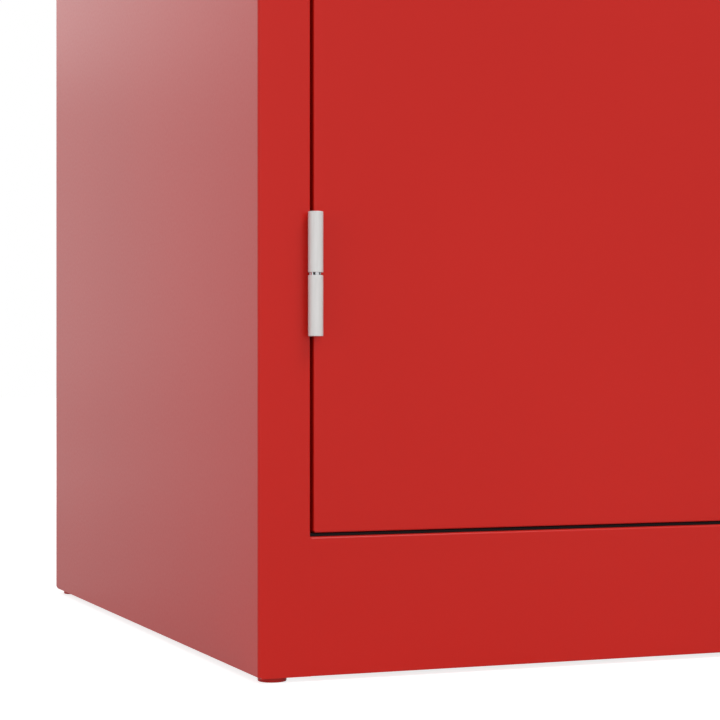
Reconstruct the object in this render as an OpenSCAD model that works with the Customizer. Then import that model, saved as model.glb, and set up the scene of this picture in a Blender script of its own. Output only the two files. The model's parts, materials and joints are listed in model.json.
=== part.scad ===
// Steel storage cabinet with two flush doors, shelves, a rod latch and screw feet

/* [Body] */
// Width of the body over both sides
body_w = 1000; // [800:10:1400]
// Depth of the body from its front face to its back
body_d = 600; // [450:10:800]
// Height of the body without its feet
body_h = 1950; // [1600:10:2200]
// Thickness of the body and door sheet
sheet = 1.5; // [1:0.1:2]
// Outer radius of a bend in the sheet
bend_r = 2; // [0.5:0.1:2.2]
// Outer radius of the bends round a door or a shelf
pan_r = 1.2; // [0.5:0.1:2.2]
// Outer radius of the bend at the foot of the front plinth
foot_bend_r = 0.6; // [0.5:0.1:2.2]
// Metal left where two flanges of a pan meet at a corner
corner_web = 0.5; // [0.3:0.1:0.7]

/* [Front frame] */
// Width of each upright face beside the doors
stile_w = 36.1; // [30:0.1:60]
// Height of the plinth face under the doors
plinth_h = 91; // [70:0.5:140]
// Height of the header face over the doors
header_h = 40; // [35:0.5:80]
// Gap between a stile and its door
side_gap = 2.1; // [2:0.1:4]
// Gap above and below a door
end_gap = 2.5; // [2:0.1:4]
// Gap between the two doors
centre_gap = 3; // [2.5:0.1:5]
// Depth of the return behind each stile
jamb_d = 30; // [26:0.5:40]
// Gap between the back of a closed door and its stops
stop_gap = 2; // [1.5:0.1:4]
// Height of the stop lip that hangs behind the top of the doors
stop_lip = 14; // [12:0.5:20]
// Depth of the plinth ledge behind the lower door stop
ledge_d = 20; // [10:0.5:40]
// Depth of the hidden returns at the plinth's foot and the header's top
return_d = 25; // [15:0.5:40]

/* [Sides and base] */
// Height of a side's lower edge above the plinth's lower edge
side_lift = 1; // [0.5:0.1:1.2]
// Width of the flange that each side turns in at the back
rear_flange = 25; // [22:0.5:40]
// Width of the flange inside the foot of each side
base_flange = 25; // [24:0.5:34]
// Height of that flange above the plinth's lower edge
flange_lift = 3; // [3:0.1:6]
// Width of the flange that each side turns in under the top
top_flange = 20; // [15:0.5:30]
// Length of the slanting cut at the lower back corner of a side
corner_cut_l = 8; // [5:0.5:20]
// Height of that cut
corner_cut_h = 2.1; // [0.5:0.1:2.1]
// Height of the floor panel above the plinth
floor_rise = 12; // [12:0.5:25]

/* [Back] */
// Thickness of the back panel
back_sheet = 1.2; // [0.8:0.1:1.5]
// Gap between the back panel and what is beside and above it
back_gap = 1; // [0.5:0.1:2]
// Width of the flat of each back rib
rib_w = 60; // [30:1:90]
// Depth of the back ribs
rib_d = 6; // [3:0.5:10]
// Spacing of the back ribs
rib_pitch = 250; // [180:5:250]
// Diameter of the back panel's screws
screw_d = 5; // [4:0.1:6]
// Diameter of their heads
screw_head_d = 9; // [8:0.1:11]
// Height of their heads
screw_head_h = 2.4; // [2:0.1:3.5]
// Distance of the screws from the side's outer face
screw_inset = 14; // [12:0.5:16]
// Distance of the first and last screw from the back panel's ends
screw_end = 60; // [40:5:120]
// Number of screws down each side
screw_count = 6; // [4:1:10]
// Diameter of the two wall-fixing holes
wall_hole_d = 9; // [6:0.5:12]
// Distance between the wall-fixing holes
wall_hole_pitch = 660; // [640:10:680]
// Distance of the wall-fixing holes below the top
wall_hole_drop = 120; // [80:5:200]

/* [Doors] */
// Depth of a door from its face to its back
door_d = 24; // [22:0.5:26]
// Width of the lip that a door turns in at its back
door_lip = 18; // [10:0.5:20]
// Width of the crown of a door stiffener
stiffener_w = 60; // [40:1:90]
// Depth of a door stiffener
stiffener_d = 18; // [10:0.5:19]
// Width of a stiffener's two flanges
stiffener_flange = 15; // [10:0.5:25]
// Gap between a stiffener's ends and the door's lip
stiffener_gap = 1; // [0.5:0.1:5]
// Diameter of the rubber door bumpers
bumper_d = 8; // [6:0.5:8]
// Distance of the bumpers from the doors' meeting edges
bumper_inset = 140; // [110:5:180]
// Clearance between a bumper and a closed door
bumper_clear = 0.3; // [0.2:0.1:1]

/* [Hinges] */
// Diameter of a hinge knuckle
knuckle_d = 9.9; // [8.4:0.1:10.4]
// Height of one knuckle
knuckle_h = 39.5; // [30:0.5:60]
// Solid end of a knuckle beyond the pin's bore
knuckle_end = 3; // [2:0.5:5]
// Diameter of the hinge pin
pin_d = 6; // [4:0.1:6.4]
// Radial clearance of the pin in its bore
pin_clear = 0.05; // [0.02:0.01:0.1]
// Gap over the top of the pin
pin_head_gap = 0.5; // [0.2:0.1:1]
// Thickness of the washer between the knuckles
washer_t = 1.9; // [1:0.1:2.5]
// Diameter of the washer
washer_d = 7.7; // [7:0.1:9]
// Distance of the hinge axis in front of the face
hinge_out = 6; // [5.6:0.1:8]
// Distance of the hinge axis from the door's edge, into the gap
hinge_in = 1; // [0.2:0.1:1.2]
// Distance from a door's end to the middle of the nearest hinge
hinge_end = 168.5; // [100:0.5:250]
// Thickness of a hinge leaf in the gap
leaf_t = 1.2; // [1:0.1:1.5]
// Depth of a hinge leaf behind the face
leaf_d = 20; // [12:0.5:22]

/* [Shelving] */
// Width of a shelf upright
upright_w = 30; // [24:0.5:40]
// Depth of a shelf upright from the side
upright_d = 12; // [10:0.5:20]
// Distance of the front uprights behind the front face
upright_front = 70; // [62:1:120]
// Distance of the rear uprights in front of the back panel
upright_rear = 25; // [15:1:80]
// Width of a slot in an upright
slot_w = 6; // [5:0.1:10]
// Height of a slot
slot_h = 14; // [13:0.5:20]
// Spacing of the slots
slot_pitch = 50; // [25:1:60]
// Height of the lowest slot's middle above the floor panel
slot_start = 60; // [40:1:90]
// Thickness of the shelf sheet
shelf_sheet = 1.2; // [0.8:0.1:2]
// Height of a shelf's flanges
shelf_flange = 30; // [20:0.5:40]
// Width of the lip that a shelf turns in below
shelf_lip = 12; // [8:0.5:20]
// Distance of a shelf's edge behind the front face
shelf_front = 52; // [46:1:60]
// Gap between a shelf and the back ribs
shelf_rear = 8; // [4:0.5:14]
// Side clearance between a shelf and its clips
shelf_clear = 0.5; // [0.3:0.1:2]
// Thickness of a shelf clip
clip_t = 2; // [1.5:0.1:3]
// Width of a shelf clip
clip_w = 16; // [12:0.5:22]
// Height of a shelf clip
clip_h = 26; // [24:0.5:36]
// Length of the clip's ledge under the shelf
clip_reach = 20; // [12:0.5:30]
// Height of the clip's tongue in the slot
tongue_h = 8; // [5:0.5:9]
// Clearance of the tongue and hook
tongue_clear = 0.3; // [0.2:0.1:0.6]
// Drop of the hook behind the slot's lower edge
hook_drop = 5; // [3:0.5:8]

/* [Feet] */
// Diameter of a foot
foot_d = 19; // [14:0.5:23]
// Height of the plinth's lower edge above the ground
foot_h = 3.5; // [3:0.1:15]
// Distance of a foot's centre from the side and from the front or back
foot_inset = 14.2; // [13.5:0.1:18]
// Bevel round a foot's lower edge
foot_bevel = 0.6; // [0.2:0.1:1.5]
// Gap between a foot and the flange over it
foot_clear = 0.3; // [0.2:0.1:1]
// Diameter of a foot's screw stem
stem_d = 8; // [6:0.5:10]
// Radial clearance of the stem in its thread
stem_clear = 0.05; // [0.02:0.01:0.1]
// Radial clearance of the stem in the flange
stem_hole_clear = 0.5; // [0.3:0.1:1]
// Length of the stem above its nut
stem_over = 4; // [2:0.5:12]
// Width of the square plate over each foot
plate_w = 46; // [36:1:70]
// Thickness of that plate
plate_t = 4; // [3:0.5:8]
// Width of the foot nut across its flats
nut_w = 13; // [13:0.5:17]
// Height of the foot nut
nut_h = 6.5; // [5:0.5:10]

/* [Handle] */
// Height of the handle's spindle above the plinth's lower edge
handle_height = 1000; // [700:10:1200]
// Distance of the spindle from the door's free edge
handle_inset = 54; // [54:0.5:80]
// Width of the handle's backplate
backplate_w = 40; // [36:1:50]
// Height of the backplate
backplate_h = 116; // [108:1:150]
// Thickness of the backplate
backplate_t = 6; // [5:0.5:10]
// Gap between the backplate and the lever's hub
hub_gap = 0.3; // [0.2:0.1:1]
// Diameter of the lever's hub
hub_d = 32; // [26:0.5:40]
// Height of the hub over the backplate
hub_h = 26; // [24:0.5:40]
// Step of the hub behind the lever
hub_step = 0.6; // [0.3:0.1:2]
// Length of the lever from the spindle to the middle of its end
lever_l = 108; // [80:1:140]
// Diameter of the lever's rounded end
lever_end_d = 17; // [12:0.5:22]
// Thickness of the lever
lever_t = 12; // [8:0.5:16]
// Diameter of the spindle
spindle_d = 12; // [10:0.5:14]
// Radial clearance of turning parts in their bores
turn_clear = 0.05; // [0.02:0.01:0.1]
// Depth of the spindle's socket in the hub
hub_socket = 10; // [6:0.5:11]
// Depth of the spindle's socket in the crank
crank_socket = 3; // [2:0.1:3]
// Diameter of the lock plug
plug_d = 16; // [12:0.5:20]
// Depth of the lock plug in the hub
plug_h = 12; // [8:0.5:16]
// Width of the key slot
key_w = 2.2; // [1.5:0.1:3]
// Length of the key slot
key_l = 9; // [6:0.5:11]
// Depth of the key slot
key_d = 6; // [3:0.5:7]
// Spacing of the handle's two screws
handle_screw_pitch = 84; // [76:1:90]
// Length of thread that those screws have in the backplate
handle_screw_grip = 4; // [3:0.5:4.5]

/* [Latch] */
// Width of the latch plate inside the door
latch_plate_w = 60; // [50:1:66]
// Height of the latch plate
latch_plate_h = 120; // [100:1:160]
// Thickness of the latch plate
latch_plate_t = 3; // [2:0.5:4]
// Gap between the latch plate and the crank
crank_gap = 1; // [0.5:0.1:2]
// Diameter of the crank disc
crank_d = 42; // [38:1:50]
// Thickness of the crank disc
crank_t = 7; // [7:0.1:8]
// Distance of the crank pins from the spindle
crank_r = 14; // [12:0.5:15]
// Diameter of the crank pins
crank_pin_d = 6; // [5:0.5:7]
// Length of a crank pin beyond its rod
crank_pin_over = 1; // [0.5:0.1:2]
// Clearance of a crank pin in its rod's slot
crank_pin_clear = 0.6; // [0.5:0.1:1]
// Turn of the lever from open to latched
lever_turn = 90; // [70:5:100]
// Diameter of the screw that holds the crank
crank_screw_d = 5; // [4:0.5:6]
// Diameter of its head
crank_screw_head_d = 10; // [8:0.5:12]
// Depth of its head in the crank
crank_screw_head_h = 2; // [1.5:0.1:2]
// Length of that screw in the spindle
crank_screw_grip = 8; // [4:0.5:10]
// Width of a latch rod
rod_w = 14; // [10:0.5:16]
// Thickness of a latch rod
rod_t = 4; // [3:0.5:4.5]
// Gap between the crank and the rods
rod_gap = 0.5; // [0.4:0.1:0.6]
// Clearance of the rods in their guides and slots
rod_clear = 0.4; // [0.3:0.1:1]
// Width of a rod's slotted end
rod_end_w = 22; // [20:0.5:22.5]
// Height of a rod's slotted end
rod_end_h = 24; // [18:0.5:30]
// Distance of a withdrawn rod or bolt inside the door's end
tip_inset = 0.7; // [0.3:0.1:1.2]
// Width of a rod guide
guide_w = 30; // [26:0.5:36]
// Height of a rod or bolt guide
guide_h = 20; // [12:0.5:24]
// Wall of a guide behind its rod or bolt
guide_wall = 3; // [2:0.1:3]
// Distance of the outer rod guides from the door's ends
guide_end = 110; // [60:5:200]
// Distance of the inner rod guides from the spindle
guide_mid = 260; // [150:5:350]

/* [Bolts] */
// Diameter of a slide bolt
bolt_d = 10; // [8:0.5:11]
// Throw of the slide bolts
bolt_throw = 20; // [12:1:24]
// Distance of the bolts from the door's free edge
bolt_inset = 44; // [40:0.5:80]
// Distance of the bolts' axis behind the door's face
bolt_back = 12; // [9:0.5:13]
// Radial clearance of a bolt in its guides
bolt_clear = 0.08; // [0.03:0.01:0.1]
// Radial clearance of a bolt in the door's end and the keeper
keeper_clear = 1; // [0.5:0.1:2]
// Width of a bolt guide
bolt_guide_w = 24; // [20:0.5:30]
// Distance of a bolt's guides from its ends
bolt_guide_end = 18; // [15:0.5:24]
// Diameter of a bolt's finger knob
knob_d = 8; // [5:0.5:8]
// Gap between the knob and a guide at the end of the throw
knob_gap = 8; // [3:0.5:20]
// Length of the finger knob from the bolt's axis
knob_l = 19; // [12:0.5:22]

/* [Hidden] */
bend_steps = 4;
arc_steps = 16;
cut = 1;
shelf_count = 4;
rib_places = [rib_pitch, 0, -rib_pitch];

left_x = -body_w / 2;
handle_reach = backplate_t + hub_gap + hub_h;
front_y = (handle_reach - body_d - screw_head_h) / 2;
back_y = front_y + body_d;
base_z = foot_h;
top_z = base_z + body_h;
plinth_z = base_z + plinth_h;
header_z = top_z - header_h;
floor_z = plinth_z + floor_rise;
flange_z = base_z + flange_lift;

opening_x = left_x + stile_w;
stop_y = front_y + door_d + stop_gap;
side_in = left_x + sheet;
back_out = back_y - sheet;
back_in = back_out - back_sheet - rib_d;
rear_x = left_x + rear_flange;

door_x = opening_x + side_gap;
door_w = -door_x - centre_gap / 2;
door_z = plinth_z + end_gap;
door_top = header_z - end_gap;
door_h = door_top - door_z;

hinge_x = door_x - hinge_in;
hinge_y = front_y - hinge_out;
hinge_places = [door_z + hinge_end, (door_z + door_top) / 2, door_top - hinge_end];
bore_r = pin_d / 2 + pin_clear;

upright_top = top_z - 2 * sheet;
upright_face = side_in + upright_d;
front_upright_y = front_y + upright_front;
rear_upright_y = back_in - upright_rear - upright_w;
slot_count = floor((upright_top - floor_z - 2 * slot_start) / slot_pitch) + 1;
shelf_slots = [for (i = [1:shelf_count]) round(i * slot_count / (shelf_count + 1))];
shelf_half = -upright_face - clip_t - shelf_clear;

foot_x = left_x + foot_inset;
foot_rows = [front_y + foot_inset, back_y - foot_inset];
foot_plate_z = flange_z + sheet;
foot_nut_z = foot_plate_z + plate_t;

spindle_x = centre_gap / 2 + handle_inset;
spindle_z = base_z + handle_height;
latch_plate_y = front_y + sheet;
crank_y = latch_plate_y + latch_plate_t + crank_gap;
rod_y = crank_y + crank_t + rod_gap;
crank_angle = lever_turn / 2;
rod_half_throw = crank_r * sin(crank_angle);
rod_offset = crank_r * (1 + cos(crank_angle)) / 2;
rod_slot_w = crank_r * (1 - cos(crank_angle)) + crank_pin_d + 2 * crank_pin_clear;
rod_slot_h = crank_pin_d + 2 * crank_pin_clear;
spindle_start = front_y - backplate_t - hub_gap - hub_socket;
spindle_end = crank_y + crank_socket;

bolt_x = -centre_gap / 2 - bolt_inset;
bolt_y = front_y + bolt_back;
bolt_l = 2 * (bolt_guide_end + guide_h + knob_gap + bolt_throw + knob_d / 2);
top_bolt_z = door_top - tip_inset - bolt_l;
bottom_bolt_z = door_z + tip_inset;
screw_first = plinth_z + screw_end;
screw_step = (top_z - sheet - screw_end - screw_first) / (screw_count - 1);

red = [0.72, 0.14, 0.12];
dark_red = [0.6, 0.11, 0.1];
zinc = [0.8, 0.8, 0.8];
galvanised = [0.7, 0.72, 0.74];
nylon = [0.12, 0.12, 0.13];

// Direction of a vector
function unit(v) = v / norm(v);

// Vector turned a quarter turn to its left
function left_of(v) = [-v[1], v[0]];

// Vector turned by an angle
function turned(v, angle) =
    [v[0] * cos(angle) - v[1] * sin(angle), v[0] * sin(angle) + v[1] * cos(angle)];

// List from its last item to its first
function reversed(list) = [for (i = [len(list) - 1:-1:0]) list[i]];

// Angle by which the line a, b, c turns left at b
function turn_at(a, b, c) = let (before = unit(b - a), after = unit(c - b))
    atan2(cross(before, after), before * after);

// Points of the arc that rounds the corner b of the line a, b, c
function rounded(a, b, c, radius) = let (
        before = unit(b - a),
        turn = turn_at(a, b, c),
        start = b - before * radius * tan(abs(turn) / 2),
        arm = left_of(before) * sign(turn) * radius)
    [for (i = [0:bend_steps]) start + arm - turned(arm, turn * i / bend_steps)];

// Line moved to its left by the thickness of a sheet
function shifted(line, thickness) = [for (i = [0:len(line) - 1]) let (
        before = i > 0 ? unit(line[i] - line[i - 1]) : unit(line[1] - line[0]),
        after = i < len(line) - 1 ? unit(line[i + 1] - line[i]) : before,
        n1 = left_of(before),
        n2 = left_of(after))
    line[i] + (n1 + n2) * thickness / (1 + n1 * n2)];

// The usual bend radius at each point of a line
function usual_bends(line) = [for (point = line) bend_r];

// Line with its left turns rounded where side is 1, or its right turns where side is -1
function eased(line, side, radii) = [for (i = [0:len(line) - 1])
    let (ends = i == 0 || i == len(line) - 1)
    let (turn = ends ? 0 : turn_at(line[i - 1], line[i], line[i + 1]))
    each (turn * side > 0 ? rounded(line[i - 1], line[i], line[i + 1], radii[i]) : [line[i]])];

// Outline of a folded sheet that lies to the left of a line, with its outer bends rounded
function folded(line, thickness, radii) =
    concat(eased(line, 1, radii), reversed(eased(shifted(line, thickness), -1, radii)));

// Outline of a pan's cross-section, open below, with both upper corners rounded
function pan_outline(span, depth) = concat([[0, -depth]],
    rounded([0, -depth], [0, 0], [span, 0], pan_r),
    rounded([0, 0], [span, 0], [span, -depth], pan_r), [[span, -depth]]);

// Arc of a circle from one angle to another
function arc(centre, radius, from, to) =
    [for (i = [0:arc_steps]) centre + turned([radius, 0], from + (to - from) * i / arc_steps)];

// Box between two corners
module block(low, high) {
    translate(low) cube(high - low);
}

// Cylinder along the depth, from one place to another
module depth_rod(x, z, from, to, diameter) {
    translate([x, from, z]) rotate([-90, 0, 0]) cylinder(d = diameter, h = to - from, $fn = 48);
}

// Upright cylinder from one height to another
module upright_rod(x, y, from, to, diameter) {
    translate([x, y, from]) cylinder(d = diameter, h = to - from, $fn = 48);
}

// Folded sheet that stands from one height to another, drawn in plan
module standing_sheet(line, from, to, thickness) {
    translate([0, 0, from]) linear_extrude(to - from)
        polygon(folded(line, thickness, usual_bends(line)));
}

// Folded sheet that runs across the width, drawn in depth and height, with a bend radius for each point
module bent_sheet(line, radii, from, to, thickness) {
    translate([from, 0, 0]) rotate([90, 0, 90]) linear_extrude(to - from)
        polygon(folded(line, thickness, radii));
}

// The same sheet with the usual bends
module crossing_sheet(line, from, to, thickness) {
    bent_sheet(line, usual_bends(line), from, to, thickness);
}

// Shallow pan with its face up, its flanges turned in below and its corners notched for the folds
module pan(width, length, depth, wall, lip) {
    inset = wall + lip;
    relief = wall - corner_web;
    difference() {
        intersection() {
            translate([0, length, 0]) rotate([90, 0, 0])
                linear_extrude(length) polygon(pan_outline(width, depth));
            rotate([90, 0, 90]) linear_extrude(width) polygon(pan_outline(length, depth));
        }
        block([wall, wall, wall - depth], [width - wall, length - wall, -wall]);
        block([inset, inset, -depth - cut], [width - inset, length - inset, 2 * wall - depth]);
        for (x = [-cut, width - relief], y = [-cut, length - relief])
            block([x, y, -depth - cut], [x + relief + cut, y + relief + cut, cut]);
    }
}

// Mirror image on the right-hand side
module on_right() {
    mirror([1, 0, 0]) children();
}

// The two places of a pair on both sides
module on_both_sides() {
    children();
    on_right() children();
}

// Plan of a side from its rear flange round to the stile, and into the jamb beside the door
function side_line(with_jamb) = concat(
    [[rear_x, back_y], [left_x, back_y], [left_x, front_y], [opening_x, front_y]],
    with_jamb ? [[opening_x, front_y + jamb_d]] : []);

module side_panel() {
    side_z = base_z + side_lift;
    color(red) difference() {
        union() {
            standing_sheet(side_line(false), side_z, plinth_z, sheet);
            standing_sheet(side_line(true), plinth_z, header_z, sheet);
            standing_sheet(side_line(false), header_z, top_z - sheet, sheet);
            block([left_x + bend_r, front_y, base_z], [opening_x, front_y + sheet, side_z + cut]);
            block([left_x + sheet / 2, front_y + sheet, flange_z],
                [left_x + base_flange, back_out, flange_z + sheet]);
            block([left_x + sheet / 2, front_y + sheet, top_z - 2 * sheet],
                [left_x + top_flange, back_out, top_z - sheet]);
        }
        translate([left_x - cut, 0, 0]) rotate([90, 0, 90]) linear_extrude(rear_flange + 2 * cut)
            polygon([[back_y - corner_cut_l, side_z], [back_y + cut, side_z - cut],
                [back_y + cut, side_z + corner_cut_h], [back_y, side_z + corner_cut_h]]);
        for (y = foot_rows)
            upright_rod(foot_x, y, flange_z - cut, flange_z + sheet + cut, stem_d + 2 * stem_hole_clear);
        back_screw_holes();
    }
}

// Shanks of the screws down one side of the back
module back_screw_holes() {
    for (i = [0:screw_count - 1])
        depth_rod(left_x + screw_inset, screw_first + i * screw_step,
            back_out - back_sheet - cut, back_y + cut, screw_d + 2 * turn_clear);
}

// Plan of the body with its corners rounded as the sides are bent
function body_plan() = let (
        corners = [[left_x, front_y], [-left_x, front_y], [-left_x, back_y], [left_x, back_y]],
        count = len(corners))
    [for (i = [0:count - 1])
        each rounded(corners[(i + count - 1) % count], corners[i], corners[(i + 1) % count], bend_r)];

module top_panel() {
    color(red) intersection() {
        union() {
            crossing_sheet([[back_y, top_z - rear_flange], [back_y, top_z], [front_y, top_z]],
                rear_x, -rear_x, sheet);
            on_both_sides() block([left_x, front_y, top_z - sheet], [rear_x, back_y, top_z]);
        }
        translate([0, 0, top_z - rear_flange - cut])
            linear_extrude(rear_flange + 2 * cut) polygon(body_plan());
    }
}

// Plan of the ribbed back, from right to left along its outer face
function back_line() = concat([[-side_in - back_gap, back_out]],
    [for (x = rib_places) each [[x + rib_w / 2 + rib_d, back_out], [x + rib_w / 2, back_out - rib_d],
        [x - rib_w / 2, back_out - rib_d], [x - rib_w / 2 - rib_d, back_out]]],
    [[side_in + back_gap, back_out]]);

module back_panel() {
    color(red) difference() {
        standing_sheet(back_line(), plinth_z, top_z - 2 * sheet - back_gap, back_sheet);
        for (x = [-wall_hole_pitch / 2, wall_hole_pitch / 2])
            depth_rod(x, top_z - wall_hole_drop, back_out - back_sheet - cut, back_y, wall_hole_d);
        on_both_sides() back_screw_holes();
    }
}

module header_rail() {
    line = [[front_y + return_d, top_z - sheet], [front_y, top_z - sheet], [front_y, header_z],
        [stop_y, header_z], [stop_y, header_z - stop_lip]];
    color(red) difference() {
        crossing_sheet(line, opening_x, -opening_x, sheet);
        keepers(header_z - cut, header_z + sheet + cut, spindle_x - rod_offset);
    }
}

// Holes that the latch rod and the slide bolt enter
module keepers(from, to, rod_x) {
    block([rod_x - rod_w / 2 - keeper_clear, rod_y - keeper_clear, from],
        [rod_x + rod_w / 2 + keeper_clear, rod_y + rod_t + keeper_clear, to]);
    upright_rod(bolt_x, bolt_y, from, to, bolt_d + 2 * keeper_clear);
}

module front_plinth() {
    line = [[stop_y + ledge_d, plinth_z], [front_y, plinth_z], [front_y, base_z],
        [front_y + return_d, base_z]];
    radii = [bend_r, bend_r, foot_bend_r, bend_r];
    color(red) difference() {
        bent_sheet(line, radii, opening_x, -opening_x, sheet);
        keepers(plinth_z - sheet - cut, plinth_z + cut, spindle_x + rod_offset);
    }
}

module rear_plinth() {
    rear_ledge = back_y - back_in + ledge_d;
    line = [[back_y - return_d, base_z], [back_y, base_z], [back_y, plinth_z],
        [back_y - rear_ledge, plinth_z]];
    color(red) crossing_sheet(line, rear_x, -rear_x, sheet);
}

module floor_panel() {
    floor_rear = back_in - shelf_clear;
    line = [[floor_rear, plinth_z], [floor_rear, floor_z], [stop_y, floor_z], [stop_y, plinth_z]];
    color(red) difference() {
        crossing_sheet(line, side_in + shelf_clear, -side_in - shelf_clear, sheet);
        on_both_sides() block([side_in - cut, stop_y - cut, plinth_z - cut],
            [opening_x + shelf_clear, front_y + jamb_d + shelf_clear, floor_z + cut]);
    }
}

// Slotted channel against the left side, with its back at a given place
module upright(y) {
    line = [[side_in, y], [upright_face, y], [upright_face, y + upright_w], [side_in, y + upright_w]];
    middle = y + upright_w / 2;
    color(galvanised) difference() {
        standing_sheet(line, floor_z, upright_top, sheet);
        for (i = [0:slot_count - 1]) let (z = floor_z + slot_start + i * slot_pitch)
            block([upright_face - sheet - cut, middle - slot_w / 2, z - slot_h / 2],
                [upright_face + cut, middle + slot_w / 2, z + slot_h / 2]);
    }
}

// Height of the middle of the slots that carry a shelf
function slot_z(index) = floor_z + slot_start + shelf_slots[index - 1] * slot_pitch;

// Height of the ledge that a shelf rests on
function ledge_z(index) = slot_z(index) + slot_h / 2 + clip_t;

module shelf(index) {
    front = front_y + shelf_front;
    color(galvanised) translate([-shelf_half, front, ledge_z(index) + shelf_flange])
        pan(2 * shelf_half, back_in - shelf_rear - front, shelf_flange, shelf_sheet, shelf_lip);
}

// Clip that hooks into one slot of a left upright
module shelf_clip(y, index) {
    middle = y + upright_w / 2;
    ledge = ledge_z(index);
    sill = slot_z(index) - slot_h / 2;
    tongue_half = slot_w / 2 - tongue_clear;
    hook_x = upright_face - sheet - tongue_clear;
    block([upright_face, middle - clip_w / 2, ledge - clip_h],
        [upright_face + clip_t, middle + clip_w / 2, ledge]);
    block([upright_face, middle - clip_w / 2, ledge - clip_t],
        [upright_face + clip_reach, middle + clip_w / 2, ledge]);
    block([hook_x - clip_t, middle - tongue_half, sill],
        [upright_face + clip_t / 2, middle + tongue_half, sill + tongue_h]);
    block([hook_x - clip_t, middle - tongue_half, sill - hook_drop],
        [hook_x, middle + tongue_half, sill + tongue_h]);
}

module shelf_clips() {
    color(zinc) on_both_sides()
        for (index = [1:shelf_count], y = [front_upright_y, rear_upright_y]) shelf_clip(y, index);
}

module foot_plates() {
    color(zinc) on_both_sides() for (i = [0, 1]) difference() {
        block([side_in, i == 0 ? front_y + sheet : back_out - plate_w, foot_plate_z],
            [side_in + plate_w, i == 0 ? front_y + sheet + plate_w : back_out, foot_nut_z]);
        upright_rod(foot_x, foot_rows[i], foot_plate_z - cut, foot_nut_z + cut, stem_d + 2 * stem_clear);
    }
}

module foot_nuts() {
    color(zinc) on_both_sides() for (y = foot_rows) difference() {
        translate([foot_x, y, foot_nut_z]) cylinder(d = nut_w / cos(30), h = nut_h, $fn = 6);
        upright_rod(foot_x, y, foot_nut_z - cut, foot_nut_z + nut_h + cut, stem_d + 2 * stem_clear);
    }
}

// Screw foot at the left, in the front row 0 or the rear row 1
module foot(row) {
    color(dark_red) translate([foot_x, foot_rows[row], 0]) union() {
        cylinder(d1 = foot_d - 2 * foot_bevel, d2 = foot_d, h = foot_bevel, $fn = 48);
        upright_rod(0, 0, foot_bevel, flange_z - foot_clear, foot_d);
        upright_rod(0, 0, foot_bevel, foot_nut_z + nut_h + stem_over, stem_d);
    }
}

module back_screws() {
    color(zinc) on_both_sides() for (i = [0:screw_count - 1]) let (z = screw_first + i * screw_step) union() {
        depth_rod(left_x + screw_inset, z, back_out - back_sheet, back_y, screw_d);
        depth_rod(left_x + screw_inset, z, back_y, back_y + screw_head_h, screw_head_d);
    }
}

module door_bumpers() {
    lower_z = plinth_z + (end_gap + floor_rise) / 2;
    upper_z = header_z - (end_gap + stop_lip) / 2;
    color(nylon) on_both_sides() for (z = [lower_z, upper_z])
        depth_rod(-centre_gap / 2 - bumper_inset, z, front_y + door_d + bumper_clear, stop_y, bumper_d);
}

// Knuckle with a bore that is closed at its far end, and a leaf in the door gap
module knuckle(from, to, bore_from, bore_to, leaf_from) {
    color(zinc) difference() {
        union() {
            upright_rod(hinge_x, hinge_y, from, to, knuckle_d);
            block([leaf_from, hinge_y, from], [leaf_from + leaf_t, front_y + leaf_d, to]);
        }
        upright_rod(hinge_x, hinge_y, bore_from, bore_to, 2 * bore_r);
    }
}

module frame_knuckle(place) {
    top = hinge_places[place] - washer_t / 2;
    knuckle(top - knuckle_h, top, top - knuckle_h + knuckle_end, top + cut, opening_x);
}

module door_knuckle(place) {
    foot = hinge_places[place] + washer_t / 2;
    knuckle(foot, foot + knuckle_h, foot - cut, foot + knuckle_h - knuckle_end, door_x - leaf_t);
}

module hinge_pins() {
    color(zinc) on_both_sides() for (z = hinge_places)
        upright_rod(hinge_x, hinge_y, z - washer_t / 2 - knuckle_h + knuckle_end,
            z + washer_t / 2 + knuckle_h - knuckle_end - pin_head_gap, pin_d);
}

module hinge_washers() {
    color(zinc) on_both_sides() for (z = hinge_places) difference() {
        upright_rod(hinge_x, hinge_y, z - washer_t / 2, z + washer_t / 2, washer_d);
        upright_rod(hinge_x, hinge_y, z - washer_t, z + washer_t, 2 * bore_r);
    }
}

// Door pan on the left, with its face flush with the front frame
module door_pan() {
    translate([door_x, front_y, door_z]) rotate([90, 0, 0]) pan(door_w, door_h, door_d, sheet, door_lip);
}

module left_door_skin() {
    color(red) difference() {
        door_pan();
        upright_rod(bolt_x, bolt_y, door_z - cut, door_z + sheet + cut, bolt_d + 2 * keeper_clear);
        upright_rod(bolt_x, bolt_y, door_top - sheet - cut, door_top + cut, bolt_d + 2 * keeper_clear);
    }
}

// Slot for a latch rod through an end of the door
module rod_slot(x, from, to) {
    block([x - rod_w / 2 - rod_clear, rod_y - rod_clear, from],
        [x + rod_w / 2 + rod_clear, rod_y + rod_t + rod_clear, to]);
}

module right_door_skin() {
    color(red) difference() {
        on_right() door_pan();
        rod_slot(spindle_x + rod_offset, door_z - cut, door_z + sheet + cut);
        rod_slot(spindle_x - rod_offset, door_top - sheet - cut, door_top + cut);
        depth_rod(spindle_x, spindle_z, front_y - cut, front_y + sheet + cut, spindle_d + 2 * turn_clear);
        handle_screw_holes();
    }
}

// Holes for the handle's screws
module handle_screw_holes() {
    for (z = [-handle_screw_pitch / 2, handle_screw_pitch / 2])
        depth_rod(spindle_x, spindle_z + z, front_y - handle_screw_grip, latch_plate_y + latch_plate_t + cut,
            screw_d + 2 * turn_clear);
}

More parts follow.
